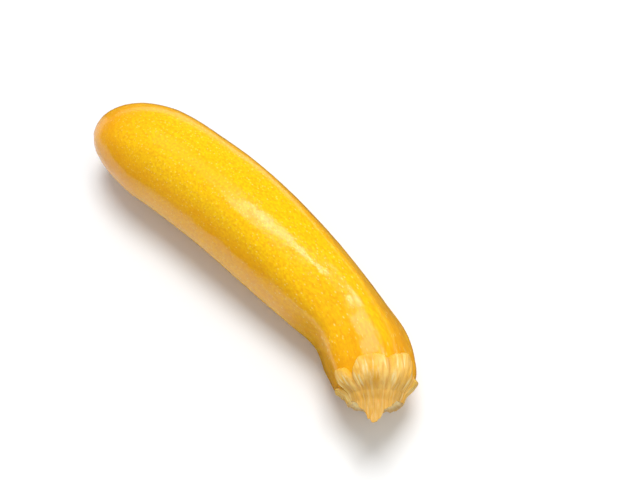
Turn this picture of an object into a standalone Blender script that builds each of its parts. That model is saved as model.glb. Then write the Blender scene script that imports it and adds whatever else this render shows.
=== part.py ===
"""A yellow zucchini, whole, lying on its side, with the torn stub of its stem.

Run with: blender --background --python part.py
The model is in metres, with +Z up. The fruit rests on z = 0. +X runs from the
blossom end to the stem, and the bent fruit bulges towards +Y. The origin is
under the middle of the whole part. The sizes below are in millimetres and
degrees, and MM turns them into metres where a point is placed.

A place on the fruit is named by its station, the distance along the bent
centre line from the blossom end, and by its angle round that line, with 0 on
the bulging side and 90 on top.
"""
import math

import bmesh
import bpy
import numpy as np
from mathutils import Color, Vector

MM = 0.001
GAP = 0.3                     # clearance between the stem and the fruit that it sits on

# Centre line: its direction in the flat, off +X and positive towards the bulge, at stations.
HEADING = ((0, 50), (37, 14), (61, 9.5), (85, 5.5), (108, 4), (128, 0), (145, -13), (158, -25),
           (171, -38), (192, -50))
BLOSSOM_AT = (-84.05, -21.67) # where the centre line starts, which centres the part on the origin
WALK_STEP = 0.5

# Fruit: radius at stations, and the two rounded ends.
RADIUS = ((0, 20.4), (25, 20.6), (49, 20.9), (73, 20.9), (97, 20.2), (120, 18.6), (139, 16.8),
          (152, 17.9), (162, 17.2), (175, 16.4))
FRUIT_LENGTH = 173.0
BLOSSOM_DOME = 32.0           # how far the blossom end's dome reaches along the fruit
SHOULDER_DOME = 15.0          # the same for the squarer shoulder under the stem
SHOULDER_SQUARENESS = 4.0
SHOULDER_FULLNESS = 0.42

# Five soft ridges, which fade towards the blossom end.
RIDGES = 5
RIDGE_ANGLE = ((0, 42), (70, 44), (93, 48), (121, 55), (143, 61), (165, 69))
RIDGE_HEIGHT = ((0, 0.1), (40, 0.45), (90, 1.0), (130, 1.35), (152, 1.5), (165, 1.1), (176, 0.4))
RIDGE_SHARPNESS = 1.6
RIDGE_MEAN = 0.42
RIDGE_START_RADIUS = 8.0      # the ridges begin where the blossom end is this wide

# How far apart the two places are that the slope of the skin is measured between.
SLOPE_STATION = 0.02
SLOPE_ANGLE = 0.5
END_MARGIN = 0.01             # so close to the fruit's end, the skin faces straight along it

# What it rests on: three low places on the underside, each pressed flat.
REST_STATIONS = (36, 95, 151)
REST_DEPTH = 0.4
CLEAR_STATION = 66            # the thickest place, kept just off the surface
CLEARANCE = 0.3
TIP_RISE = 0.6
STEM_RISE = ((160, 1.0), (168, 2.1), (176, 2.9), (192, 3.6))   # above the last low place

# Scar where the blossom fell off, a low corky button on the underside of the tip.
SCAR_STATION = 2.6
SCAR_ANGLE = 262
SCAR_RADIUS = 6.0
SCAR_EDGE = 1.1               # half the width of the button's sloping edge
SCAR_HEIGHT = 1.3
SCAR_DISH = 0.6

# Stem stub: fluted ribs that end on the shoulder in rounded lobes. Each groove between two ribs
# has its angle, the station where it meets the fruit, and the station where the rib after it,
# with its lobe, ends on the shoulder.
GROOVES = ((24, 166, 160.5), (72, 162.5, 159), (120, 165.5, 161.3), (153, 170, 168.0),
           (205, 171, 166.5), (268, 171, 166), (335, 170, 167), (384, 166, 160.5))
LOBE_FULLNESS = 1.9           # how square the lobes' ends are, and below how broad the ribs are
RIB_FULLNESS = 2.3
RIB_CREST = ((158, 18.6), (165, 15.8), (171, 12.6), (177, 10.2), (192, 9.4))
GROOVE_DEPTH = 1.9
SEAT_THICKNESS, RIB_THICKNESS = 0.5, 1.25   # of the stem's edge, in a groove and on a crown
EDGE_ROUND = 1.5              # width over which that edge rises from the fruit
STEEP_EDGE = 2.0              # where the edge is steep, it has risen this far along at the latest
JOIN_ROUND = 1.6              # softness of the hollow between the lobes and the neck
TORN_STATION = 175.8          # where the stem was torn off, apart from its longest rib
TONGUE_ANGLE = 94
TONGUE_REACH = 10.0
TONGUE_WIDTH = 32
TEETH = ((11, 0.3, 40), (17, 0.2, 110))   # count round the rim, reach and place of the torn teeth
PITH_STATION = 175.2
PITH_SHARE = 0.45             # how far in from the rim the torn face drops to the pith
SEAT_SHARE, FLANK_SHARE = 0.25, 0.5        # shares of the rows for the seat and for the flank

FRUIT_SEGMENTS, FRUIT_ROWS = 50, 72
STEM_SEGMENTS, STEM_ROWS = 90, 36
STEM_CREASE = 50              # edges of the stem sharper than this are not shaded smooth

# Finishes: screen colours from 0 to 255, and roughness.
SKIN_COLOUR, SKIN_ROUGHNESS = (252, 196, 12), 0.35
RIND_COLOUR, RIND_ROUGHNESS = (222, 172, 70), 0.55


def smooth_step(low, high, value):
    """0 below low, 1 above high, and a smooth rise between."""
    t = min(1.0, max(0.0, (value - low) / (high - low)))
    return t * t * (3 - 2 * t)


def between(table, x):
    """Value at x on the smooth curve through the table's pairs."""
    xs, ys = zip(*table)
    x = min(max(x, xs[0]), xs[-1])
    i = max(k for k in range(len(xs) - 1) if xs[k] <= x)

    def slope(k):
        a, b = max(k - 1, 0), min(k + 1, len(xs) - 1)
        return (ys[b] - ys[a]) / (xs[b] - xs[a])

    h = xs[i + 1] - xs[i]
    t = (x - xs[i]) / h
    start = (1 + 2 * t) * (1 - t) ** 2 * ys[i] + t * (1 - t) ** 2 * h * slope(i)
    end = t * t * (3 - 2 * t) * ys[i + 1] + t * t * (t - 1) * h * slope(i + 1)
    return start + end


def walk_centre_line():
    """Stations along the centre line, and its x and y at each of them."""
    stations = np.arange(0, HEADING[-1][0] + WALK_STEP, WALK_STEP)
    heads = np.radians([between(HEADING, s + WALK_STEP / 2) for s in stations[:-1]])
    x = BLOSSOM_AT[0] + np.concatenate(([0], np.cumsum(np.cos(heads)) * WALK_STEP))
    y = BLOSSOM_AT[1] + np.concatenate(([0], np.cumsum(np.sin(heads)) * WALK_STEP))
    return stations, x, y


WALK = walk_centre_line()


def fruit_radius(station, angle):
    """Distance from the centre line to the skin."""
    radius = between(RADIUS, station)
    if station < BLOSSOM_DOME:
        radius *= math.sqrt(max(0.0, 1 - (1 - station / BLOSSOM_DOME) ** 2))
    into = (station - FRUIT_LENGTH) / SHOULDER_DOME + 1
    if into > 0:
        radius *= max(0.0, 1 - into ** SHOULDER_SQUARENESS) ** SHOULDER_FULLNESS
    turn = math.radians(RIDGES * (angle - between(RIDGE_ANGLE, station)))
    ridge = (0.5 + 0.5 * math.cos(turn)) ** RIDGE_SHARPNESS - RIDGE_MEAN
    return radius + between(RIDGE_HEIGHT, station) * ridge * smooth_step(0, RIDGE_START_RADIUS, radius)


def axis_heights():
    """Height of the centre line at stations, so that the three low places just touch down."""
    low = [(s, fruit_radius(s, 270) - REST_DEPTH) for s in REST_STATIONS]
    clear = (CLEAR_STATION, fruit_radius(CLEAR_STATION, 270) + CLEARANCE)
    rising = [(s, low[-1][1] + rise) for s, rise in STEM_RISE]
    return [(0, low[0][1] + TIP_RISE), low[0], clear, *low[1:], *rising]


AXIS_HEIGHT = axis_heights()


def place(station, radius, angle):
    """Point at a distance from the centre line, at a station and an angle round it."""
    stations, xs, ys = WALK
    x, y = np.interp(station, stations, xs), np.interp(station, stations, ys)
    head, turn = math.radians(between(HEADING, station)), math.radians(angle)
    side, up = radius * math.cos(turn), radius * math.sin(turn)
    height = between(AXIS_HEIGHT, station)
    return Vector((x - side * math.sin(head), y + side * math.cos(head), height + up))


def heading_vector(station):
    """Unit vector along the centre line towards the stem."""
    head = math.radians(between(HEADING, station))
    return Vector((math.cos(head), math.sin(head), 0))


def skin(station, angle):
    """Point on the fruit's skin, before the scar and the resting places."""
    return place(station, fruit_radius(station, angle), angle)


def skin_normal(station, angle):
    """Direction straight out of the skin."""
    if station > FRUIT_LENGTH - END_MARGIN:
        return heading_vector(station)
    ahead, behind = min(station + SLOPE_STATION, FRUIT_LENGTH), max(station - SLOPE_STATION, 0)
    along = skin(ahead, angle) - skin(behind, angle)
    around = skin(station, angle + SLOPE_ANGLE) - skin(station, angle - SLOPE_ANGLE)
    return around.cross(along).normalized()


def scarred(point):
    """The point with the blossom scar's button raised under it."""
    centre, out = skin(SCAR_STATION, SCAR_ANGLE), skin_normal(SCAR_STATION, SCAR_ANGLE)
    distance = (point - centre).length
    button = 1 - smooth_step(SCAR_RADIUS - SCAR_EDGE, SCAR_RADIUS + SCAR_EDGE, distance)
    dish = 1 - smooth_step(0, SCAR_RADIUS - SCAR_EDGE, distance)
    return point + out * (SCAR_HEIGHT * button - SCAR_DISH * dish)


def fruit_point(unit):
    """Where a point of the unit sphere goes on the fruit."""
    station = FRUIT_LENGTH * (1 + unit.z) / 2
    point = scarred(skin(station, math.degrees(math.atan2(unit.y, unit.x))))
    point.z = max(point.z, 0)
    return point


def rib(angle):
    """0 in a groove of the stem and 1 on a rib's crown, and where the groove and the lobe end."""
    angle = (angle - GROOVES[0][0]) % 360 + GROOVES[0][0]
    i = max(k for k in range(len(GROOVES) - 1) if GROOVES[k][0] <= angle)
    (low, low_end, lobe_end), (high, high_end, _) = GROOVES[i], GROOVES[i + 1]
    across = (angle - low) / (high - low)
    return math.sin(math.pi * across), low_end + (high_end - low_end) * across, lobe_end


def lobe_station(angle):
    """Station where the stem's edge lies on the shoulder."""
    crown, groove_end, lobe_end = rib(angle)
    return groove_end + (lobe_end - groove_end) * (1 - (1 - crown) ** LOBE_FULLNESS)


def past_edge(station, angle):
    """Distance in from the stem's edge, measured square to it."""
    around = math.radians(2 * SLOPE_ANGLE) * between(RIB_CREST, station)
    slope = (lobe_station(angle + SLOPE_ANGLE) - lobe_station(angle - SLOPE_ANGLE)) / around
    along = station - lobe_station(angle)
    return max(along / math.hypot(1, slope), along - STEEP_EDGE)


def torn_station(angle):
    """Station of the torn rim: ragged teeth, and one long rib on top."""
    off = (angle - TONGUE_ANGLE + 180) % 360 - 180
    tongue = TONGUE_REACH * math.exp(-((off / TONGUE_WIDTH) ** 2))
    teeth = sum(reach * math.sin(math.radians(count * angle + turn)) for count, reach, turn in TEETH)
    return TORN_STATION + tongue + teeth


def stem_radius(station, angle):
    """Distance from the centre line to the stem's fluted flank."""
    crown = 1 - (1 - rib(angle)[0]) ** RIB_FULLNESS
    seat = fruit_radius(min(station, FRUIT_LENGTH), angle) + GAP
    over_fruit = seat + SEAT_THICKNESS + (RIB_THICKNESS - SEAT_THICKNESS) * crown
    neck = between(RIB_CREST, station) - GROOVE_DEPTH * (1 - crown)
    outer = (over_fruit + neck + math.hypot(over_fruit - neck, JOIN_ROUND)) / 2
    past = min(1.0, past_edge(station, angle) / EDGE_ROUND)
    return seat + (outer - seat) * math.sin(past * math.pi / 2)


def stem_point(unit):
    """Where a point of the unit sphere goes on the stem: seat, flank or torn face."""
    angle = math.degrees(math.atan2(unit.y, unit.x))
    row = 1 - math.acos(max(-1.0, min(1.0, unit.z))) / math.pi
    edge, torn = lobe_station(angle), torn_station(angle)
    if row <= SEAT_SHARE:
        station = FRUIT_LENGTH - (FRUIT_LENGTH - edge) * (row / SEAT_SHARE) ** 2
        return skin(station, angle) + skin_normal(station, angle) * GAP
    if row <= SEAT_SHARE + FLANK_SHARE:
        station = edge + (torn - edge) * (row - SEAT_SHARE) / FLANK_SHARE
        return place(station, stem_radius(station, angle), angle)
    inward = (row - SEAT_SHARE - FLANK_SHARE) / (1 - SEAT_SHARE - FLANK_SHARE)
    station = torn + (PITH_STATION - torn) * smooth_step(0, PITH_SHARE, inward)
    return place(station, stem_radius(torn, angle) * (1 - inward), angle)


def colour_from_screen(colour):
    """Linear colour of a screen colour given as 0 to 255."""
    return (*Color([part / 255 for part in colour]).from_srgb_to_scene_linear(), 1.0)


def make_material(name, colour, roughness):
    """A plain finish for one sub-part."""
    material = bpy.data.materials.new(name)
    material.use_nodes = True
    shader = material.node_tree.nodes["Principled BSDF"]
    shader.inputs["Base Color"].default_value = colour
    shader.inputs["Roughness"].default_value = roughness
    shader.inputs["Metallic"].default_value = 0.0
    return material


def make_piece(name, segments, rows, shape, material, collection):
    """A sphere whose points are moved by the shape function, as one smooth closed piece."""
    mesh = bpy.data.meshes.new(name)
    cage = bmesh.new()
    bmesh.ops.create_uvsphere(cage, u_segments=segments, v_segments=rows, radius=1.0)
    for vert in cage.verts:
        vert.co = shape(vert.co) * MM
    cage.to_mesh(mesh)
    cage.free()
    mesh.shade_smooth()
    mesh.materials.append(material)
    piece = bpy.data.objects.new(name, mesh)
    collection.objects.link(piece)
    return piece


def main():
    """Builds the fruit and its stem stub."""
    for old in list(bpy.data.objects):
        bpy.data.objects.remove(old, do_unlink=True)
    zucchini = bpy.data.collections.new("yellow_zucchini")
    bpy.context.scene.collection.children.link(zucchini)
    skin_finish = make_material("yellow_skin", colour_from_screen(SKIN_COLOUR), SKIN_ROUGHNESS)
    stem_finish = make_material("stem_rind", colour_from_screen(RIND_COLOUR), RIND_ROUGHNESS)
    make_piece("fruit", FRUIT_SEGMENTS, FRUIT_ROWS, fruit_point, skin_finish, zucchini)
    stem = make_piece("stem", STEM_SEGMENTS, STEM_ROWS, stem_point, stem_finish, zucchini)
    stem.data.set_sharp_from_angle(angle=math.radians(STEM_CREASE))


main()
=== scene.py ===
"""A whole yellow zucchini on a pale floor: its finished surface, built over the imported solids.

Sizes are in millimetres and degrees, and MM turns them into metres where a point is placed.
A place on the fruit is named as it is on the solids: by its station, the distance along the
bent centre line from the blossom end, and by its angle round that line, with 0 on the bulging
side and 90 on top.
"""
import logging
import math
from dataclasses import dataclass, field
from enum import Enum

import bpy
import numpy as np
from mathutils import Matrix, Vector, noise


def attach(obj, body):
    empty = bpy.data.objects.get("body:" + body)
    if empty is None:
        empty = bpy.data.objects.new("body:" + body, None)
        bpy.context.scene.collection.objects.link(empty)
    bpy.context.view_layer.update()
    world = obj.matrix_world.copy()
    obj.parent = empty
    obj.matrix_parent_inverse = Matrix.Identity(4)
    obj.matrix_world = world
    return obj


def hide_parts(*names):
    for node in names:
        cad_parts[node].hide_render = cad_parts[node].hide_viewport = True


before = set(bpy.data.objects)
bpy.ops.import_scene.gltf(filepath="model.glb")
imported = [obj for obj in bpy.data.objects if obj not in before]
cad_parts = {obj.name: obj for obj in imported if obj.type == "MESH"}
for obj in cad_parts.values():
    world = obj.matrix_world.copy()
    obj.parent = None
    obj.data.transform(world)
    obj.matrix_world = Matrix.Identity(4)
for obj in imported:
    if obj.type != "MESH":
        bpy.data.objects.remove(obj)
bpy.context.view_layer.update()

MM = 0.001
UNDERSIDE = 270.0
TINY = 1e-6

Array = np.ndarray
Material = bpy.types.Material
TreeNode = bpy.types.Node
Socket = bpy.types.NodeSocket
Tree = bpy.types.NodeTree
Colour = tuple[float, float, float, float]
Rows = tuple[tuple[float, ...], ...]
Value = float | tuple | Socket
# Where a change begins and ends, and the strengths there where they aren't 0 and 1.
Fade = tuple[float, ...]


class Node(Enum):
    """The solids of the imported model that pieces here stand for."""

    FRUIT = "fruit"
    STEM = "stem"


class Reach(Enum):
    """What a light shows in: the shade and the gloss, or the gloss alone."""

    BOTH = "both"
    GLOSS = "gloss"


class Part(Enum):
    """What can be selected in a mesh."""

    FACE = "FACE"
    EDGE = "EDGE"


class Slot(Enum):
    """The record's material slots."""

    SKIN = "yellow_skin"
    RIND = "stem_rind"


def screen_colour(red: int, green: int, blue: int) -> Colour:
    """Linear colour of a screen colour given as 0 to 255."""
    parts = [c / 255 for c in (red, green, blue)]
    return tuple(((c + 0.055) / 1.055) ** 2.4 if c > 0.04 else c / 12.92 for c in parts) + (1.0,)


def smooth_step(low: float, high: float, value: Array) -> Array:
    """0 below low, 1 above high, and a smooth rise between."""
    t = np.clip((value - low) / (high - low), 0.0, 1.0)
    return t * t * (3 - 2 * t)


def soft_noise(points: Array, size: float, stretch: float = 1.0, seed: float = 0.0) -> Array:
    """Smooth noise between about -1 and 1.

    Args:
        points: places, one row each, in millimetres.
        size: width of a lump.
        stretch: how many times longer than wide a lump is along the third axis.
        seed: moves to another stretch of the same noise.

    Returns:
        One value for each place.
    """
    scaled = points / (size, size, size * stretch) + seed
    return np.array([noise.noise(Vector(p)) for p in scaled])


@dataclass(frozen=True)
class SmoothTable:
    """A smooth curve through a few pairs of numbers."""

    pairs: Rows

    def at(self, x: Array) -> Array:
        """Reads the curve.

        Args:
            x: where to read it, held inside the table's ends.

        Returns:
            The curve's value at each x.
        """
        xs, ys = np.array(self.pairs, float).T
        x = np.clip(x, xs[0], xs[-1])
        before, after = np.arange(len(xs)) - 1, np.arange(len(xs)) + 1
        before[0], after[-1] = 0, len(xs) - 1
        slope = (ys[after] - ys[before]) / (xs[after] - xs[before])
        i = np.clip(np.searchsorted(xs, x, side="right") - 1, 0, len(xs) - 2)
        h = xs[i + 1] - xs[i]
        t = (x - xs[i]) / h
        start = (1 + 2 * t) * (1 - t) ** 2 * ys[i] + t * (1 - t) ** 2 * h * slope[i]
        end = t * t * (3 - 2 * t) * ys[i + 1] + t * t * (t - 1) * h * slope[i + 1]
        return start + end


@dataclass(frozen=True)
class CentreLine:
    """The bent line that the fruit and its stem grow along."""

    heading: SmoothTable = SmoothTable(((0, 50), (37, 14), (61, 9.5), (85, 5.5), (108, 4), (128, 0),
                                        (145, -13), (158, -25), (171, -38), (192, -50)))
    start: tuple[float, float] = (-84.05, -21.67)
    walk_step: float = 0.5

    def walk(self) -> tuple[Array, Array, Array]:
        """Walks along the line in short steps.

        Returns:
            The stations, and the line's x and y at each of them.
        """
        stations = np.arange(0, self.heading.pairs[-1][0] + self.walk_step, self.walk_step)
        heads = np.radians(self.heading.at(stations[:-1] + self.walk_step / 2))
        x = self.start[0] + np.concatenate(([0], np.cumsum(np.cos(heads)) * self.walk_step))
        y = self.start[1] + np.concatenate(([0], np.cumsum(np.sin(heads)) * self.walk_step))
        return stations, x, y

    def place(self, station: Array, radius: Array, angle: Array, height: Array) -> Array:
        """Points at a distance from the line.

        Args:
            station: distance along the line.
            radius: distance from the line.
            angle: angle round the line.
            height: height of the line there.

        Returns:
            One row of x, y and z for each point.
        """
        stations, xs, ys = self.walk()
        x, y = np.interp(station, stations, xs), np.interp(station, stations, ys)
        head, turn = np.radians(self.heading.at(station)), np.radians(angle)
        side, up = radius * np.cos(turn), radius * np.sin(turn)
        return np.stack((x - side * np.sin(head), y + side * np.cos(head), height + up), axis=-1)

    def along(self, station: Array) -> Array:
        """Unit vectors along the line, towards the stem."""
        head = np.radians(self.heading.at(station))
        return np.stack((np.cos(head), np.sin(head), np.zeros_like(head)), axis=-1)


@dataclass(frozen=True)
class Form:
    """The smooth form of the fruit, which its skin and its stem stub follow."""

    line: CentreLine = CentreLine()
    radius_table: SmoothTable = SmoothTable(((0, 20.4), (25, 20.6), (49, 20.9), (73, 20.9), (97, 20.2),
                                             (120, 18.6), (139, 16.8), (152, 17.9), (162, 17.2),
                                             (175, 16.4)))
    length: float = 173.0
    blossom_dome: float = 32.0
    shoulder_dome: float = 15.0
    shoulder_squareness: float = 4.0
    shoulder_fullness: float = 0.42
    ridges: int = 5
    ridge_angle: SmoothTable = SmoothTable(((0, 42), (70, 44), (93, 48), (121, 55), (143, 61), (165, 69)))
    ridge_height: SmoothTable = SmoothTable(((0, 0.1), (40, 0.45), (90, 1.0), (130, 1.35), (152, 1.5),
                                             (165, 1.1), (176, 0.4)))
    ridge_sharpness: float = 1.6
    ridge_mean: float = 0.42
    ridge_start_radius: float = 8.0
    rest_stations: tuple[float, ...] = (36, 95, 151)
    rest_depth: float = 0.4
    clear_station: float = 66
    clearance: float = 0.3
    tip_rise: float = 0.6
    stem_rise: Rows = ((160, 1.0), (168, 2.1), (176, 2.9), (192, 3.6))

    def crest(self, station: Array, angle: Array) -> Array:
        """0 in the hollow between two ridges and 1 on a ridge's crest."""
        turn = np.radians(self.ridges * (angle - self.ridge_angle.at(station)))
        return (0.5 + 0.5 * np.cos(turn)) ** self.ridge_sharpness

    def radius(self, station: Array, angle: Array) -> Array:
        """Distance from the centre line to the smooth skin.

        Args:
            station: distance along the centre line.
            angle: angle round it.

        Returns:
            The distance at each place.
        """
        blossom = np.clip(1 - station / self.blossom_dome, 0, 1)
        into = np.clip((station - self.length) / self.shoulder_dome + 1, 0, 1)
        domes = np.sqrt(1 - blossom ** 2) * (1 - into ** self.shoulder_squareness) ** self.shoulder_fullness
        radius = self.radius_table.at(station) * domes
        ridge = self.ridge_height.at(station) * (self.crest(station, angle) - self.ridge_mean)
        return radius + ridge * smooth_step(0, self.ridge_start_radius, radius)

    def height(self, station: Array) -> Array:
        """Height of the centre line, so that the three low places just touch down.

        Args:
            station: distance along the line.

        Returns:
            The height there.
        """
        rests = [(s, float(self.radius(np.array(s), np.array(UNDERSIDE))) - self.rest_depth)
                 for s in self.rest_stations]
        thick = float(self.radius(np.array(self.clear_station), np.array(UNDERSIDE))) + self.clearance
        rising = [(s, rests[-1][1] + rise) for s, rise in self.stem_rise]
        table = ((0, rests[0][1] + self.tip_rise), rests[0], (self.clear_station, thick),
                 *rests[1:], *rising)
        return SmoothTable(table).at(station)

    def place(self, station: Array, radius: Array, angle: Array) -> Array:
        """Points at a distance from the centre line."""
        return self.line.place(station, radius, angle, self.height(station))

    def skin(self, station: Array, angle: Array) -> Array:
        """Points on the smooth skin."""
        return self.place(station, self.radius(station, angle), angle)

    def normal(self, station: Array, angle: Array, step: float = 0.05, turn: float = 0.5) -> Array:
        """Unit vectors straight out of the smooth skin.

        Args:
            station: distance along the centre line.
            angle: angle round it.
            step: how far along the line the slope is measured.
            turn: how far round it the slope is measured.

        Returns:
            One row for each point.
        """
        ahead = self.skin(np.minimum(station + step, self.length), angle)
        behind = self.skin(np.maximum(station - step, 0), angle)
        around = self.skin(station, angle + turn) - self.skin(station, angle - turn)
        out = np.cross(around, ahead - behind)
        size = np.linalg.norm(out, axis=-1, keepdims=True)
        tip = np.where(station[..., None] > self.length / 2, 1.0, -1.0) * self.line.along(station)
        return np.where(size > TINY, out / np.maximum(size, TINY), tip)

    def unbent(self, station: Array, radius: Array, angle: Array) -> Array:
        """Places on the fruit as if it had grown straight, for patterns that follow its growth."""
        turn = np.radians(angle)
        return np.stack((radius * np.cos(turn), radius * np.sin(turn), station), axis=-1)


class Piece:
    """A mesh object that is modelled here and stands finished in the frame."""

    def __init__(self, name: str) -> None:
        """Takes the object that an operator has just added, and names it."""
        self.thing = bpy.context.active_object
        self.thing.name = name
        self.thing.data.name = name

    @property
    def mesh(self) -> bpy.types.Mesh:
        """The piece's mesh."""
        return self.thing.data

    def points(self) -> Array:
        """Reads the mesh's points.

        Returns:
            One row for each point.
        """
        flat = np.empty(len(self.mesh.vertices) * 3)
        self.mesh.vertices.foreach_get("co", flat)
        return flat.reshape(-1, 3)

    def move_points(self, places: Array) -> None:
        """Puts the mesh's points at these places, in millimetres."""
        self.mesh.vertices.foreach_set("co", (places * MM).ravel())
        self.mesh.update()

    def select(self, part: Part, picked: list[bool]) -> None:
        """Goes into edit mode with only some of the mesh's faces or edges selected.

        Args:
            part: whether faces or edges are selected.
            picked: for each of them, whether it is.
        """
        bpy.ops.object.mode_set(mode="EDIT")
        bpy.ops.mesh.select_mode(type=part.value)
        bpy.ops.mesh.select_all(action="DESELECT")
        bpy.ops.object.mode_set(mode="OBJECT")
        parts = self.mesh.polygons if part is Part.FACE else self.mesh.edges
        parts.foreach_set("select", picked)
        bpy.ops.object.mode_set(mode="EDIT")

    def note(self, name: str, values: Array) -> None:
        """Keeps one number or one vector for each point, for the finish to read."""
        kind, part = ("FLOAT_VECTOR", "vector") if values.ndim == 2 else ("FLOAT", "value")
        self.mesh.attributes.new(name, kind, "POINT").data.foreach_set(part, values.ravel())

    def dress(self, material: Material, slot: Slot, node: Node | None = None) -> None:
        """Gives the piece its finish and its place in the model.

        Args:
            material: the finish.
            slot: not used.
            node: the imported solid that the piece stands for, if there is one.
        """
        self.mesh.materials.clear()
        self.mesh.materials.append(material)
        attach(self.thing, "root")
        if node:
            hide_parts(node.value)
        logging.info("%s: %d faces, %s", self.thing.name, len(self.mesh.polygons), material.name)


def deselect_all() -> None:
    """Leaves nothing selected and Blender in object mode."""
    if bpy.context.mode != "OBJECT":
        bpy.ops.object.mode_set(mode="OBJECT")
    bpy.ops.object.select_all(action="DESELECT")


@dataclass(frozen=True)
class BlossomScar:
    """The corky button where the blossom fell off, on the underside of the tip."""

    form: Form
    station: float = 2.6
    angle: float = 262
    radius: float = 6.0
    edge: float = 1.1
    height: float = 0.9
    dish: float = 0.5
    cracks: int = 9
    crack_depth: float = 0.3
    crack_width: float = 0.16
    crack_sway: float = 0.9
    crack_from: Fade = (0.15, 0.4)
    crack_until: Fade = (0.9, 1.15)
    crumb_size: float = 0.16
    crumb_height: float = 0.16
    nub_radius: float = 1.1
    nub_height: float = 0.7
    puckers: int = 13
    pucker_depth: float = 0.14
    pucker_from: Fade = (1.0, 1.3)
    pucker_until: Fade = (1.5, 2.6)
    sway_size: float = 0.5
    noise_reach: float = 3.0

    def frame(self) -> tuple[Array, Array, Array, Array]:
        """Finds the scar on the fruit.

        Returns:
            Its middle, its outward direction and two directions across it.
        """
        station, angle = np.array([self.station]), np.array([float(self.angle)])
        middle = self.form.skin(station, angle)[0]
        out = self.form.normal(station, angle)[0]
        across = np.cross((0, 0, 1), out)
        across /= np.linalg.norm(across)
        return middle, out, across, np.cross(out, across)

    def spot(self, points: Array) -> Array:
        """Finds places across the scar.

        Args:
            points: points on the fruit.

        Returns:
            Two numbers and a zero for each point, with a length of 1 at the scar's rim.
        """
        middle, _, across, along = self.frame()
        away = points - middle
        far = np.linalg.norm(away, axis=1)
        flat = np.stack((away @ across, away @ along), axis=1)
        size = np.maximum(np.linalg.norm(flat, axis=1), TINY)
        flat *= (far / size / self.radius)[:, None]
        return np.concatenate((flat, np.zeros((len(flat), 1))), axis=1)

    def relief(self, points: Array) -> Array:
        """Raises the scar's button, cracks and puckers.

        Args:
            points: points on the smooth fruit.

        Returns:
            The points with the scar's relief.
        """
        spot = self.spot(points)
        reach = np.hypot(spot[:, 0], spot[:, 1])
        turn = np.arctan2(spot[:, 1], spot[:, 0])
        close = reach < self.noise_reach
        distance = reach * self.radius
        button = 1 - smooth_step(self.radius - self.edge, self.radius + self.edge, distance)
        hollow = 1 - smooth_step(0, self.radius - self.edge, distance)
        rise = self.height * button - self.dish * hollow
        wander = np.zeros(len(points))
        lumps = np.zeros(len(points))
        wander[close] = soft_noise(spot[close], self.sway_size, seed=4.0)
        lumps[close] = soft_noise(spot[close], self.crumb_size, seed=9.0)
        ray = np.abs(np.sin(self.cracks / 2 * (turn + self.crack_sway * wander)))
        crack = np.exp(-(ray / self.crack_width) ** 2) * smooth_step(*self.crack_from, reach)
        rise -= self.crack_depth * (crack * (1 - smooth_step(*self.crack_until, reach)))
        rise += self.crumb_height * lumps * button
        rise += self.nub_height * np.exp(-(distance / self.nub_radius) ** 2)
        folds = self.pucker_depth * np.cos(self.puckers * turn + 2 * wander)
        rise += folds * smooth_step(*self.pucker_from, reach) * (1 - smooth_step(*self.pucker_until, reach))
        return points + self.frame()[1] * rise[:, None]


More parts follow.
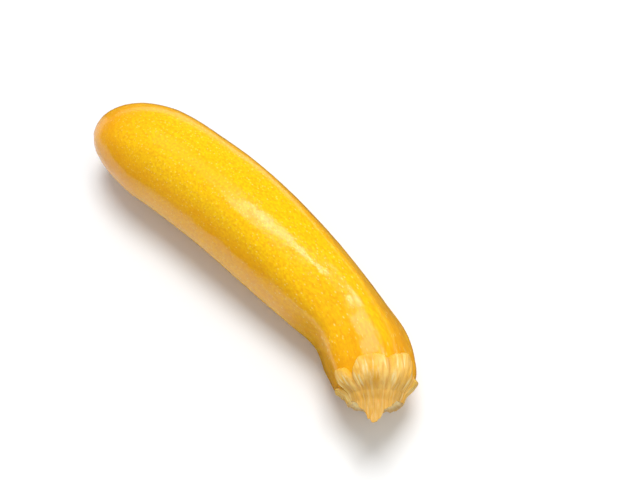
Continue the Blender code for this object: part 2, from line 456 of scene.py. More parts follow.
@dataclass(frozen=True)
class Stub:
    """The shape of the fluted stem stub: ribs that end on the shoulder in lobes, and a torn end."""

    form: Form
    grooves: Rows = ((24, 166, 160.5), (72, 162.5, 159), (123, 165.5, 161.3), (153, 170, 168.0),
                     (205, 171, 166.5), (268, 171, 166), (335, 170, 167), (384, 166, 160.5))
    lobe_fullness: float = 1.9
    edge_ripple: Rows = ((3.2, 0.7), (1.3, 0.4), (0.7, 0.2))
    rib_crest: SmoothTable = SmoothTable(((158, 18.6), (165, 15.8), (171, 13.0), (174, 11.7),
                                          (177, 10.4), (192, 9.4)))
    rib_fullness: float = 2.3
    groove_depth: float = 1.25
    groove_fade: tuple[float, float, float] = (162, 174, 0.7)
    seat_thickness: float = 0.35
    rib_thickness: float = 0.85
    edge_round: float = 1.5
    steep_edge: float = 2.0
    join_round: float = 3.2
    torn_at: float = 175.8
    tongue_angle: float = 94
    tongue_reach: float = 10.0
    tongue_width: float = 32
    tongue_wobble: tuple[float, float] = (1.3, 9.0)
    teeth: Rows = ((4.5, 0.6), (1.9, 0.7), (0.9, 0.3))
    rind_share: float = 0.17
    tongue_share: float = 0.25
    face_depth: float = 1.3
    face_rise: float = 0.3
    face_lumps: Rows = ((2.4, 0.4), (0.9, 0.25))
    pith_station: float = 176.2
    sink: float = 0.35
    fibres: Rows = ((2.6, 0.32), (1.2, 0.36), (0.6, 0.2))
    fibre_stretch: float = 6.0
    fibre_from: Fade = (0.0, 0.12)
    bundles: int = 10
    bundle_reach: float = 0.56
    bundle_drift: tuple[float, float] = (5.0, 0.12)
    bundle_turn: tuple[float, float] = (7.0, 1.6)
    bundle_width: float = 0.075
    bundle_height: float = 0.7
    bundle_sharpness: int = 8
    hollow_share: float = 0.24
    hollow_depth: float = 0.9

    def rib(self, angle: Array) -> tuple[Array, Array, Array]:
        """How the ribs lie round the stem.

        Args:
            angle: angle round the centre line.

        Returns:
            0 in a groove and 1 on a rib's crown, the station where a groove would meet the
            fruit there, and the station where the rib's lobe ends.
        """
        low_angle, low_end, lobe_end = np.array(self.grooves[:-1]).T
        high_angle, high_end, _ = np.array(self.grooves[1:]).T
        angle = (angle - low_angle[0]) % 360 + low_angle[0]
        i = np.clip(np.searchsorted(low_angle, angle, side="right") - 1, 0, len(low_angle) - 1)
        across = (angle - low_angle[i]) / (high_angle[i] - low_angle[i])
        groove_end = low_end[i] + (high_end[i] - low_end[i]) * across
        return np.sin(np.pi * across), groove_end, lobe_end[i]

    def round_stem(self, station: Array, angle: Array, stretch: float = 1.0) -> Array:
        """Places on an even cylinder, for noise that runs round the stem or along it."""
        radius = np.full_like(angle, float(self.rib_crest.at(np.array(self.torn_at))))
        return self.form.unbent(station / stretch, radius, angle)

    def edge(self, angle: Array) -> Array:
        """Where the stem's edge lies on the shoulder.

        Args:
            angle: angle round the centre line.

        Returns:
            The edge's station.
        """
        crown, groove_end, lobe_end = self.rib(angle)
        ring = self.round_stem(np.zeros_like(angle), angle)
        ripple = sum(height * soft_noise(ring, size, seed=31.0) for size, height in self.edge_ripple)
        return groove_end + (lobe_end - groove_end) * (1 - (1 - crown) ** self.lobe_fullness) + ripple

    def past_edge(self, station: Array, angle: Array, step: float = 1.0) -> Array:
        """Distance in from the stem's edge, measured square to it.

        Args:
            station: distance along the centre line.
            angle: angle round it.
            step: how far round the edge's slope is measured.

        Returns:
            The distance, in millimetres.
        """
        around = np.radians(2 * step) * self.rib_crest.at(station)
        slope = (self.edge(angle + step) - self.edge(angle - step)) / around
        along = station - self.edge(angle)
        return np.maximum(along / np.hypot(1, slope), along - self.steep_edge)

    def off_tongue(self, angle: Array) -> Array:
        """How far round from the long rib."""
        return (angle - self.tongue_angle + 180) % 360 - 180

    def torn(self, angle: Array) -> Array:
        """Where the torn rim is, with its ragged teeth and one long rib on top.

        Args:
            angle: angle round the centre line.

        Returns:
            The rim's station.
        """
        ring = self.round_stem(np.zeros_like(angle), angle)
        size, sway = self.tongue_wobble
        off = self.off_tongue(angle) + sway * soft_noise(ring, size, seed=12.0)
        tongue = self.tongue_reach * np.exp(-((off / self.tongue_width) ** 2))
        ragged = sum(height * soft_noise(ring, size, seed=size * 7) for size, height in self.teeth)
        return self.torn_at + tongue + ragged

    def radius(self, station: Array, angle: Array) -> Array:
        """Distance from the centre line to the fluted flank.

        Args:
            station: distance along the centre line.
            angle: angle round it.

        Returns:
            The distance at each place.
        """
        crown = 1 - (1 - self.rib(angle)[0]) ** self.rib_fullness
        skin = self.form.radius(np.minimum(station, self.form.length), angle)
        over_fruit = skin + self.seat_thickness + (self.rib_thickness - self.seat_thickness) * crown
        start, end, share = self.groove_fade
        depth = self.groove_depth * (1 - share * smooth_step(start, end, station))
        neck = self.rib_crest.at(station) - depth * (1 - crown)
        outer = (over_fruit + neck + np.hypot(over_fruit - neck, self.join_round)) / 2
        seat = skin - self.sink
        past = np.clip(self.past_edge(station, angle) / self.edge_round, 0, 1)
        return seat + (outer - seat) * np.sin(past * np.pi / 2)

    def strand(self, station: Array, radius: Array, angle: Array) -> Array:
        """Places that the fibres keep to: round the stem and along its flank, however steep it is."""
        return self.round_stem(station - radius, angle)

    def fibre(self, station: Array, angle: Array) -> Array:
        """Height of the fibres that run along the stem."""
        drawn = self.round_stem(station - self.radius(station, angle), angle, self.fibre_stretch)
        return sum(height * soft_noise(drawn, size, seed=size * 3) for size, height in self.fibres)

    def flank(self, share: Array, angle: Array) -> tuple[Array, Array]:
        """Places on the flank.

        Args:
            share: 0 at the edge on the shoulder and 1 at the torn rim.
            angle: angle round the centre line.

        Returns:
            The station and the distance from the centre line.
        """
        edge, torn = self.edge(angle), self.torn(angle)
        station = edge + (torn - edge) * share
        fade = smooth_step(*self.fibre_from, share)
        return station, self.radius(station, angle) + self.fibre(station, angle) * fade

    def bundle(self, inward: Array, angle: Array) -> Array:
        """Finds the stumps of the strands that run through the stem.

        Args:
            inward: 0 at the torn rim and 1 in the middle of the torn face.
            angle: angle round the centre line.

        Returns:
            1 on a stump, and 0 between them.
        """
        place = self.round_stem(np.zeros_like(angle), angle)
        size, sway = self.bundle_turn
        turn = self.bundles / 2 * np.radians(angle) + sway * soft_noise(place, size, seed=21.0)
        size, sway = self.bundle_drift
        reach = self.bundle_reach + sway * soft_noise(place, size, seed=23.0)
        ring = (inward - 1 + reach) / self.bundle_width
        return np.cos(turn) ** self.bundle_sharpness * np.exp(-(ring ** 2))

    def face(self, inward: Array, angle: Array) -> tuple[Array, Array]:
        """Places on the torn face.

        Args:
            inward: 0 at the rim and 1 in the middle.
            angle: angle round the centre line.

        Returns:
            The station and the distance from the centre line.
        """
        torn = self.torn(angle)
        behind = np.exp(-((self.off_tongue(angle) / self.tongue_width) ** 2))
        into = smooth_step(0, self.rind_share + self.tongue_share * behind, inward)
        station = torn + (self.pith_station - torn) * into
        radius = self.flank(np.ones_like(inward), angle)[1] * (1 - inward)
        flat = self.form.unbent(np.zeros_like(radius), radius, angle)
        deep = smooth_step(0, self.rind_share, inward)
        station -= self.face_depth * deep * (1 - self.face_rise * inward)
        lumps = sum(height * soft_noise(flat, size, seed=size) for size, height in self.face_lumps)
        station += deep * lumps
        station += self.bundle_height * self.bundle(inward, angle)
        rim, floor = 1 - self.hollow_share, 1 - 0.5 * self.hollow_share
        station -= self.hollow_depth * smooth_step(rim, floor, inward)
        return station, radius


@dataclass(frozen=True)
class Sketch:
    """Adds and joins the nodes of one material or one node group."""

    tree: Tree
    spacing: float = 220.0

    def feed(self, socket: Socket, value: Value) -> None:
        """Joins a socket to another one, or sets its value.

        Args:
            socket: the socket that is fed.
            value: the other socket, or the value.
        """
        if isinstance(value, Socket):
            self.tree.links.new(value, socket)
        else:
            socket.default_value = value

    def add(self, kind: str, inputs: dict[str | int, Value], **settings: object) -> TreeNode:
        """Adds a node.

        Args:
            kind: the node's type, without its leading ShaderNode.
            inputs: what its sockets are fed with, by name or by number.
            settings: its other properties.

        Returns:
            The node.
        """
        node = self.tree.nodes.new("ShaderNode" + kind)
        node.location = (self.spacing * len(self.tree.nodes), 0)
        for name, value in settings.items():
            setattr(node, name, value)
        for name, value in inputs.items():
            self.feed(node.inputs[name], value)
        return node

    def noted(self, name: str, vector: bool = False) -> Socket:
        """What the mesh notes under this name, as a number or as a vector."""
        node = self.add("Attribute", {}, attribute_name=name)
        return node.outputs["Vector" if vector else "Fac"]

    def maths(self, operation: str, first: Value, second: Value = 0.0) -> Socket:
        """A sum of one or two values."""
        return self.add("Math", {0: first, 1: second}, operation=operation).outputs[0]

    def plus(self, first: Value, second: Value) -> Socket:
        """Two values added."""
        return self.maths("ADD", first, second)

    def times(self, first: Value, second: Value) -> Socket:
        """Two values multiplied."""
        return self.maths("MULTIPLY", first, second)

    def stretch(self, vector: Value, factor: Value) -> Socket:
        """A vector times another one, part by part."""
        return self.add("VectorMath", {0: vector, 1: factor}, operation="MULTIPLY").outputs[0]

    def fade(self, value: Value, low: Value, high: Value, start: float = 0.0,
             end: float = 1.0) -> Socket:
        """A smooth change from start, where the value is at low, to end, where it is at high."""
        inputs = {"Value": value, "From Min": low, "From Max": high, "To Min": start, "To Max": end}
        return self.add("MapRange", inputs, interpolation_type="SMOOTHSTEP").outputs["Result"]

    def mix(self, share: Value, first: Value, second: Value) -> Socket:
        """A mix of two colours, which go into the Mix node's sockets 6 and 7."""
        return self.add("Mix", {0: share, 6: first, 7: second}, data_type="RGBA").outputs[2]

    def tint(self, colour: Value, over: Value, mask: Value, strength: Value) -> Socket:
        """A colour with another one laid over it where the mask is."""
        return self.mix(self.times(mask, strength), colour, over)

    def noise(self, vector: Value, scale: Value = 1.0, detail: float = 2.0) -> Socket:
        """Smooth noise between 0 and 1."""
        return self.add("TexNoise", {"Vector": vector, "Scale": scale, "Detail": detail}).outputs["Fac"]

    def group(self, tree: Tree, inputs: dict[str, Value]) -> Socket:
        """Places a node group.

        Args:
            tree: the group.
            inputs: what its sockets are fed with.

        Returns:
            Its first output.
        """
        node = self.add("Group", {})
        node.node_tree = tree
        for name, value in inputs.items():
            self.feed(node.inputs[name], value)
        return node.outputs[0]


@dataclass(frozen=True)
class Pattern:
    """How wide, how long and how strong a shared effect is on a surface."""

    width: float
    length: float
    contrast: float

    def over(self, growth: Value) -> dict[str, Value]:
        """The effect's inputs over these growth places."""
        return {"Growth": growth, "Width": self.width, "Length": self.length, "Contrast": self.contrast}


class Effects:
    """The surface effects that the finishes share, each a node group that is built once."""

    def __init__(self) -> None:
        """Builds the groups: soft clouds, fine lines and small spots."""
        self.mottling = self.build_noise("mottling", 3.0, lines=False)
        self.fibres = self.build_noise("fibres", 4.0, lines=True)
        self.flecks = self.build_flecks()

    @staticmethod
    def start(name: str, sizes: dict[str, float]) -> tuple[Sketch, TreeNode, TreeNode]:
        """Opens a group that takes a vector and some sizes and puts out one mask.

        Args:
            name: the group's name.
            sizes: its other inputs, with their usual values.

        Returns:
            The sketch to draw in, and the group's input and output nodes.
        """
        tree = bpy.data.node_groups.new(name, "ShaderNodeTree")
        tree.interface.new_socket("Growth", in_out="INPUT", socket_type="NodeSocketVector")
        for size, usual in sizes.items():
            socket = tree.interface.new_socket(size, in_out="INPUT", socket_type="NodeSocketFloat")
            socket.default_value = usual
        tree.interface.new_socket("Mask", in_out="OUTPUT", socket_type="NodeSocketFloat")
        return Sketch(tree), tree.nodes.new("NodeGroupInput"), tree.nodes.new("NodeGroupOutput")

    @classmethod
    def build_noise(cls, name: str, detail: float, lines: bool) -> Tree:
        """Noise that is drawn out along the growth.

        Args:
            name: the group's name.
            detail: how fine the noise goes.
            lines: whether it makes lines, where the noise leaves its mean, and not clouds.

        Returns:
            The group.
        """
        sketch, given, result = cls.start(name, {"Width": 1.0, "Length": 1.0, "Contrast": 1.0})
        across = sketch.maths("DIVIDE", 1.0, given.outputs["Width"])
        along = sketch.maths("DIVIDE", 1.0, given.outputs["Length"])
        factor = sketch.add("CombineXYZ", {0: across, 1: across, 2: along}).outputs[0]
        noise_value = sketch.noise(sketch.stretch(given.outputs["Growth"], factor), detail=detail)
        swing = sketch.maths("SUBTRACT", noise_value, 0.5)
        if lines:
            mask = sketch.times(sketch.maths("ABSOLUTE", swing), given.outputs["Contrast"])
        else:
            mask = sketch.plus(sketch.times(swing, given.outputs["Contrast"]), 0.5)
        sketch.feed(result.inputs["Mask"], sketch.add("Clamp", {0: mask}).outputs[0])
        return sketch.tree

    @classmethod
    def build_flecks(cls) -> Tree:
        """Small soft spots, one in each of some of the cells that the surface is divided into.

        Returns:
            The group.
        """
        sketch, given, result = cls.start("flecks", {"Cell": 1.0, "Size": 0.3, "Share": 1.0})
        scale = sketch.maths("DIVIDE", 1.0, given.outputs["Cell"])
        places = sketch.add("VectorMath", {0: given.outputs["Growth"], 3: scale}, operation="SCALE")
        cells = sketch.add("TexVoronoi", {"Vector": places.outputs[0], "Scale": 1.0, "Randomness": 0.9})
        chance = sketch.add("SeparateColor", {0: cells.outputs["Color"]})
        uneven = sketch.fade(chance.outputs[1], 0.0, 1.0, 0.5, 1.3)
        size = sketch.times(given.outputs["Size"], uneven)
        spot = sketch.fade(cells.outputs["Distance"], size, sketch.times(size, 0.3))
        there = sketch.maths("LESS_THAN", chance.outputs[0], given.outputs["Share"])
        sketch.feed(result.inputs["Mask"], sketch.times(spot, there))
        return sketch.tree


def new_material(name: str) -> tuple[Material, Sketch, TreeNode]:
    """Adds a material.

    Args:
        name: its name.

    Returns:
        The material, a sketch of its nodes and its main shader.
    """
    material = bpy.data.materials.new(name)
    material.use_nodes = True
    return material, Sketch(material.node_tree), material.node_tree.nodes["Principled BSDF"]


def set_constants(shader: TreeNode, values: dict[str, Value]) -> None:
    """Sets values that are the same all over a surface, on the shader's own sockets."""
    for name, value in values.items():
        shader.inputs[name].default_value = value


def add_relief(sketch: Sketch, shader: TreeNode, depth: float, height: Socket) -> None:
    """Gives a material a fine relief.

    Args:
        sketch: the material's sketch.
        shader: its main shader.
        depth: how far a height of 1 rises, in metres.
        height: the relief's height.
    """
    bump = sketch.add("Bump", {"Strength": 1.0, "Distance": depth, "Height": height})
    sketch.feed(shader.inputs["Normal"], bump.outputs["Normal"])


@dataclass(frozen=True)
class WaxySkin:
    """The finish of the fruit: waxy yellow with pale flecks, painted light on its top, painted shade
    towards both ends, and cork on the blossom scar.
    """

    name: str = "waxy_yellow_skin"
    bright: Colour = screen_colour(255, 203, 0)
    deep: Colour = screen_colour(246, 176, 0)
    # painted light: a brighter yellow laid on the top of the fruit, where the light falls
    painted_light_yellow: Colour = screen_colour(255, 214, 0)
    # a deeper orange: the skin's own tone in its lines, pores and the stain round the scar, and also the
    # painted shade towards both ends
    deep_orange_and_shade: Colour = screen_colour(226, 142, 0)
    fleck: Colour = screen_colour(255, 224, 112)
    cork: Colour = screen_colour(222, 180, 134)
    dark_cork: Colour = screen_colour(164, 118, 76)
    clouds: Pattern = Pattern(13.0, 38.0, 1.6)
    cloud_share: float = 0.7
    # where the painted light on the top begins and where it is full
    painted_light_on_top: Fade = (13.5, 18.5, 0.0, 0.75)
    lines: Pattern = Pattern(2.4, 40.0, 3.0)
    line_strength: float = 0.22
    pores: Pattern = Pattern(0.9, 1.0, 3.0)
    pore_strength: float = 0.55
    fleck_cell: float = 1.15
    fleck_size: float = 0.28
    fleck_share: float = 0.95
    fleck_strength: Fade = (60.0, 5.0, 0.6, 0.95)
    # painted shade: the skin darkens towards the stem end and towards the blossom end
    painted_shade_near_stem: Fade = (26.0, -2.0, 0.0, 0.42)
    painted_shade_near_blossom: Fade = (120.0, 165.0, 0.0, 0.42)
    cork_spots: Pattern = Pattern(0.22, 0.22, 2.4)
    scar_raggedness: float = 0.3
    scar_cork: Fade = (1.12, 0.98)
    scar_stain: Fade = (1.45, 1.05, 0.0, 0.45)
    scar_rim: Fade = (0.85, 1.02)
    scar_middle: Fade = (0.25, 0.1)
    roughness: tuple[float, float] = (0.115, 0.245)
    cork_roughness: float = 0.35
    relief_depth: float = 0.00004
    fleck_relief: float = 0.6
    fine_relief: float = 1.6
    cork_relief: float = 9.0

    def build(self, effects: Effects) -> Material:
        """Builds the material.

        Args:
            effects: the shared node groups.

        Returns:
            The material.
        """
        material, sketch, shader = new_material(self.name)
        growth, grain = sketch.noted("growth", vector=True), sketch.noted("grain", vector=True)
        clouds = sketch.group(effects.mottling, self.clouds.over(growth))
        flecks = sketch.group(effects.flecks, {"Growth": grain, "Cell": self.fleck_cell,
                                               "Size": self.fleck_size, "Share": self.fleck_share})
        colour = self.tone(sketch, clouds)
        lines = sketch.group(effects.fibres, self.lines.over(growth))
        colour = sketch.tint(colour, self.deep_orange_and_shade, lines, self.line_strength)
        pores = sketch.group(effects.mottling, self.pores.over(grain))
        colour = sketch.tint(colour, self.deep_orange_and_shade, pores, self.pore_strength)
        to_stem = sketch.noted("to_stem")
        colour = sketch.tint(colour, self.fleck, flecks, sketch.fade(to_stem, *self.fleck_strength))
        # painted shade towards both ends of the fruit
        ends = sketch.plus(sketch.fade(to_stem, *self.painted_shade_near_stem),
                            sketch.fade(to_stem, *self.painted_shade_near_blossom))
        colour = sketch.mix(ends, colour, self.deep_orange_and_shade)
        colour, corky = self.add_scar(sketch, effects, colour)
        sketch.feed(shader.inputs["Base Color"], colour)
        sheen = sketch.fade(clouds, 0.0, 1.0, *self.roughness)
        dull = sketch.times(corky, self.cork_roughness)
        sketch.feed(shader.inputs["Roughness"], sketch.plus(sheen, dull))
        fine = sketch.times(sketch.noise(grain, scale=1.1, detail=3.0), self.fine_relief)
        height = sketch.plus(sketch.times(flecks, self.fleck_relief), fine)
        crumbs = sketch.times(corky, self.cork_relief)
        crumbs = sketch.times(sketch.noise(growth, scale=2.2, detail=5.0), crumbs)
        add_relief(sketch, shader, self.relief_depth, sketch.plus(height, crumbs))
        set_constants(shader, {"Subsurface Weight": 0.12, "Subsurface Radius": (1.0, 0.45, 0.1),
                               "Subsurface Scale": 0.003, "Coat Weight": 0.3, "Coat Roughness": 0.075})
        return material

    def tone(self, sketch: Sketch, clouds: Socket) -> Socket:
        """The skin's yellow: cloudy and brighter on its ridges, with painted light making it brightest on
        top.

        Args:
            sketch: the material's sketch.
            clouds: the mask of the clouds.

        Returns:
            The colour.
        """
        upward = sketch.add("SeparateXYZ", {0: sketch.noted("growth", vector=True)}).outputs["Y"]
        crest = sketch.times(sketch.noted("crest"), 1 - self.cloud_share)
        share = sketch.plus(sketch.times(clouds, self.cloud_share), crest)
        colour = sketch.mix(share, self.deep, self.bright)
        # painted light that brightens the top of the fruit
        return sketch.mix(sketch.fade(upward, *self.painted_light_on_top), colour, self.painted_light_yellow)

    def add_scar(self, sketch: Sketch, effects: Effects,
                 skin: Socket) -> tuple[Socket, Socket]:
        """Lays the cork of the blossom scar over the skin's colour.

        Args:
            sketch: the material's sketch.
            effects: the shared node groups.
            skin: the colour of the skin.

        Returns:
            The colour with the scar, and the mask of the cork.
        """
        spot = sketch.noted("scar", vector=True)
        reach = sketch.add("VectorMath", {0: spot}, operation="LENGTH").outputs["Value"]
        ragged = sketch.maths("SUBTRACT", sketch.noise(spot, scale=3.5, detail=3.0), 0.5)
        reach = sketch.plus(reach, sketch.times(ragged, self.scar_raggedness))
        corky = sketch.fade(reach, *self.scar_cork)
        spots = sketch.group(effects.mottling, self.cork_spots.over(spot))
        cork = sketch.mix(spots, self.dark_cork, self.cork)
        for place in (self.scar_rim, self.scar_middle):
            cork = sketch.mix(sketch.fade(reach, *place), cork, self.dark_cork)
        stained = sketch.mix(sketch.fade(reach, *self.scar_stain), skin, self.deep_orange_and_shade)
        return sketch.mix(corky, stained, cork), corky


@dataclass(frozen=True)
class FibrousRind:
    """The finish of the stem stub: dry, fibrous and pale gold, with darker fibre lines and painted shade in
    its grooves.
    """

    name: str = "fibrous_stem_rind"
    gold: Colour = screen_colour(244, 184, 56)
    pale: Colour = screen_colour(255, 222, 132)
    # a brownish gold for the rind's fibre lines, also used as painted shade in the grooves
    tan_lines_and_groove_shade: Colour = screen_colour(222, 158, 58)
    # pale yellow for lines along the ribs: partly the rind's dry fibres and partly painted highlights
    straw_and_highlight: Colour = screen_colour(255, 236, 170)
    yellow: Colour = screen_colour(240, 184, 34)
    dry: Colour = screen_colour(202, 148, 54)
    # painted shade: a dark colour for the bottom of the grooves near the fruit
    crease_shade_brown: Colour = screen_colour(168, 104, 36)
    pith: Colour = screen_colour(240, 218, 168)
    dried: Colour = screen_colour(172, 122, 66)
    clouds: Pattern = Pattern(3.0, 9.0, 2.4)
    lines: Pattern = Pattern(0.8, 10.0, 5.0)
    line_strength: float = 0.75
    # pale lines along the fibres, partly real dry fibres and partly painted highlights
    pale_streaks_and_highlights: Pattern = Pattern(1.1, 16.0, 5.0)
    streak_and_highlight_strength: Fade = (0.35, 0.8, 0.0, 0.75)
    towards_tear: Fade = (5.0, 13.0, 0.0, 0.7)
    towards_fruit: Fade = (4.0, 0.5, 0.0, 0.55)
    # painted shade in the grooves near the fruit, and darker painted shade at their bottom
    groove: Fade = (0.4, 0.05)
    groove_shade_strength: Fade = (14.0, 5.0, 0.0, 0.4)
    crease_shade: Fade = (0.12, 0.0)
    crease_shade_strength: Fade = (9.0, 3.0, 0.0, 0.3)
    blots: Pattern = Pattern(1.6, 1.6, 2.6)
    face_edge: Fade = (0.0, 0.03)
    face_rim: Fade = (0.2, 0.02, 0.0, 0.6)
    stumps: Fade = (0.3, 0.8, 0.0, 0.35)
    hollow: Fade = (0.74, 0.86, 0.0, 0.8)
    roughness: tuple[float, float] = (0.24, 0.42)
    face_dull: Fade = (0.0, 0.05)
    face_roughness: Colour = (0.75, 0.75, 0.75, 1.0)
    relief_depth: float = 0.00004
    coarse_relief: float = 0.6

    def build(self, effects: Effects) -> Material:
        """Builds the material.

        Args:
            effects: the shared node groups.

        Returns:
            The material.
        """
        material, sketch, shader = new_material(self.name)
        growth, strand = sketch.noted("growth", vector=True), sketch.noted("strand", vector=True)
        face = sketch.noted("face")
        lines = sketch.group(effects.fibres, self.lines.over(strand))
        clouds = sketch.group(effects.mottling, self.clouds.over(strand))
        colour = sketch.mix(clouds, self.gold, self.pale)
        colour = sketch.tint(colour, self.tan_lines_and_groove_shade, lines, self.line_strength)
        # pale lines, partly dry fibres and partly painted highlights
        pale_streaks_and_highlights = sketch.group(effects.fibres, self.pale_streaks_and_highlights.over(strand))
        colour = sketch.mix(sketch.fade(pale_streaks_and_highlights, *self.streak_and_highlight_strength), colour, self.straw_and_highlight)
        colour = self.add_age(sketch, colour)
        colour = self.add_face(sketch, effects, colour, face, growth)
        sketch.feed(shader.inputs["Base Color"], colour)
        gloss = sketch.fade(lines, 0.0, 1.0, *self.roughness)
        dull = sketch.mix(sketch.fade(face, *self.face_dull), gloss, self.face_roughness)
        sketch.feed(shader.inputs["Roughness"], dull)
        coarse = sketch.times(sketch.noise(growth, scale=1.6, detail=4.0), self.coarse_relief)
        add_relief(sketch, shader, self.relief_depth, sketch.plus(lines, coarse))
        set_constants(shader, {"Subsurface Weight": 0.15, "Subsurface Radius": (1.0, 0.6, 0.25),
                               "Subsurface Scale": 0.002})
        return material

    def add_age(self, sketch: Sketch, rind: Socket) -> Socket:
        """Dries the rind towards its torn end, keeps it yellow by the fruit, and paints shade into its
        grooves near the fruit, darker still at their bottom.

        Args:
            sketch: the material's sketch.
            rind: the colour of the fresh rind.

        Returns:
            The colour of the rind.
        """
        crown, lip = sketch.noted("crown"), sketch.noted("lip")
        colour = sketch.mix(sketch.fade(lip, *self.towards_tear), rind, self.dry)
        colour = sketch.mix(sketch.fade(lip, *self.towards_fruit), colour, self.yellow)
        # painted shade in the grooves near the fruit, darker still at their bottom
        for over, low, strength in ((self.tan_lines_and_groove_shade, self.groove, self.groove_shade_strength),
                                    (self.crease_shade_brown, self.crease_shade, self.crease_shade_strength)):
            mask = sketch.fade(crown, *low)
            colour = sketch.tint(colour, over, mask, sketch.fade(lip, *strength))
        return colour

    def add_face(self, sketch: Sketch, effects: Effects, rind: Socket,
                 face: Socket, growth: Socket) -> Socket:
        """Lays the torn face's colours over the rind's.

        Args:
            sketch: the material's sketch.
            effects: the shared node groups.
            rind: the colour of the rind.
            face: how far in from the torn rim a place is, 0 all over the rind.
            growth: the growth places.

        Returns:
            The colour with the torn face.
        """
        blots = sketch.group(effects.mottling, self.blots.over(growth))
        flesh = sketch.mix(blots, self.pale, self.pith)
        for value, place in ((face, self.face_rim), (sketch.noted("bundle"), self.stumps),
                             (face, self.hollow)):
            flesh = sketch.mix(sketch.fade(value, *place), flesh, self.dried)
        return sketch.mix(sketch.fade(face, *self.face_edge), rind, flesh)


@dataclass(frozen=True)
class PaleFloor:
    """The finish of the floor."""

    name: str = "pale_floor"
    colour: Colour = (0.89, 0.9, 0.907, 1.0)
    unevenness: float = 0.97
    # painted reflection: how bright the floor is in the skin's mirror image, and how bright its dim patches
    # are there
    mirrored: float = 0.8
    dim_mirrored: float = 0.06
    # patches where the floor's mirror image is painted dark, with nothing on the floor there
    dim_reflection_patches: Rows = (
        (-1.0, 1.0, -0.015, 0.08),
        (-0.03, 1.0, 0.0, 0.25),
        (0.028, 1.0, -0.065, 0.0),
        (-2.0, 2.0, -9.0, -0.12),
    )
    dim_reflection_softness: float = 0.012
    roughness: float = 0.7

    def build(self) -> Material:
        """Builds the material: plain, with a faint unevenness in its tone.

        In the mirror image on the skin the floor is painted dimmer than it is, and some patches of
        it much dimmer still: a painted dark reflection, with nothing lying on the floor there.

        Returns:
            The material.
        """
        material, sketch, shader = new_material(self.name)
        place = sketch.add("TexCoord", {}).outputs["Object"]
        uneven = sketch.noise(place, scale=3.0, detail=4.0)
        colour = sketch.mix(uneven, self.colour, self.darkened(self.unevenness))
        dim = 0.0
        for patch in self.dim_reflection_patches:
            dim = sketch.maths("MAXIMUM", dim, self.dim_reflection_mask(sketch, place, patch))
        # painted reflection: the floor is dimmer in the gloss, and very dim on the patches
        mirrored = sketch.mix(dim, self.darkened(self.mirrored), self.darkened(self.dim_mirrored))
        in_gloss = sketch.add("LightPath", {}).outputs["Is Glossy Ray"]
        sketch.feed(shader.inputs["Base Color"], sketch.mix(in_gloss, colour, mirrored))
        set_constants(shader, {"Roughness": self.roughness})
        return material

    def dim_reflection_mask(self, sketch: Sketch, place: Socket, patch: tuple[float, ...]) -> Socket:
        """1 on a patch where the floor's reflection is painted dim, and 0 round it.

        Args:
            sketch: the material's sketch.
            place: the place on the floor.
            patch: the patch's sides: least and greatest X, least and greatest Y.

        Returns:
            The mask.
        """
        parts = sketch.add("SeparateXYZ", {0: place})
        soft = self.dim_reflection_softness
        mask = 1.0
        for name, low, high in (("X", *patch[:2]), ("Y", *patch[2:])):
            part = parts.outputs[name]
            mask = sketch.times(mask, sketch.fade(part, low - soft, low + soft))
            mask = sketch.times(mask, sketch.fade(part, high + soft, high - soft))
        return mask

    def darkened(self, factor: float) -> Colour:
        """The floor's colour, darkened."""
        return tuple(factor * part for part in self.colour[:3]) + (1.0,)


@dataclass
class Fruit:
    """The fruit, with the scar of its blossom."""

    form: Form
    stub: Stub
    scar: BlossomScar
    segments: int = 280
    rings: int = 340
    lumps: Rows = ((17.0, 2.0, 0.32), (6.0, 2.5, 0.11), (2.2, 1.6, 0.06))
    fleck_stretch: SmoothTable = SmoothTable(((0, 0.9), (60, 1.1), (110, 1.5), (145, 2.4), (165, 3.4)))

    def build(self) -> Piece:
        """Models the fruit from a sphere whose points are moved to where growth puts them.

        Returns:
            The piece.
        """
        deselect_all()
        bpy.ops.mesh.primitive_uv_sphere_add(segments=self.segments, ring_count=self.rings, radius=1.0)
        piece = Piece("fruit_skin")
        unit = piece.points()
        station = self.form.length * (1 + unit[:, 2]) / 2
        angle = np.degrees(np.arctan2(unit[:, 1], unit[:, 0]))
        radius = self.form.radius(station, angle)
        growth = self.form.unbent(station, radius, angle)
        points = self.form.skin(station, angle)
        spot = self.scar.spot(points)
        rise = sum(height * soft_noise(growth, size, stretch, seed=size)
                   for size, stretch, height in self.lumps)
        points = points + self.form.normal(station, angle) * rise[:, None]
        points = self.scar.relief(points)
        points[:, 2] = np.maximum(points[:, 2], 0)
        piece.move_points(points)
        piece.note("growth", growth)
        piece.note("grain", self.grain(station, growth))
        piece.note("crest", self.form.crest(station, angle))
        piece.note("to_stem", self.stub.edge(angle) - station)
        piece.note("scar", spot)
        bpy.ops.object.shade_smooth()
        return piece

    def grain(self, station: Array, growth: Array) -> Array:
        """The growth places with their length squeezed where the flecks are drawn out.

        Args:
            station: distance along the centre line.
            growth: the growth places.

        Returns:
            One row for each place.
        """
        steps = np.arange(0, self.form.length + 1)
        squeezed = np.concatenate(([0], np.cumsum(1 / self.fleck_stretch.at(steps[:-1]))))
        return np.stack((growth[:, 0], growth[:, 1], np.interp(station, steps, squeezed)), axis=-1)


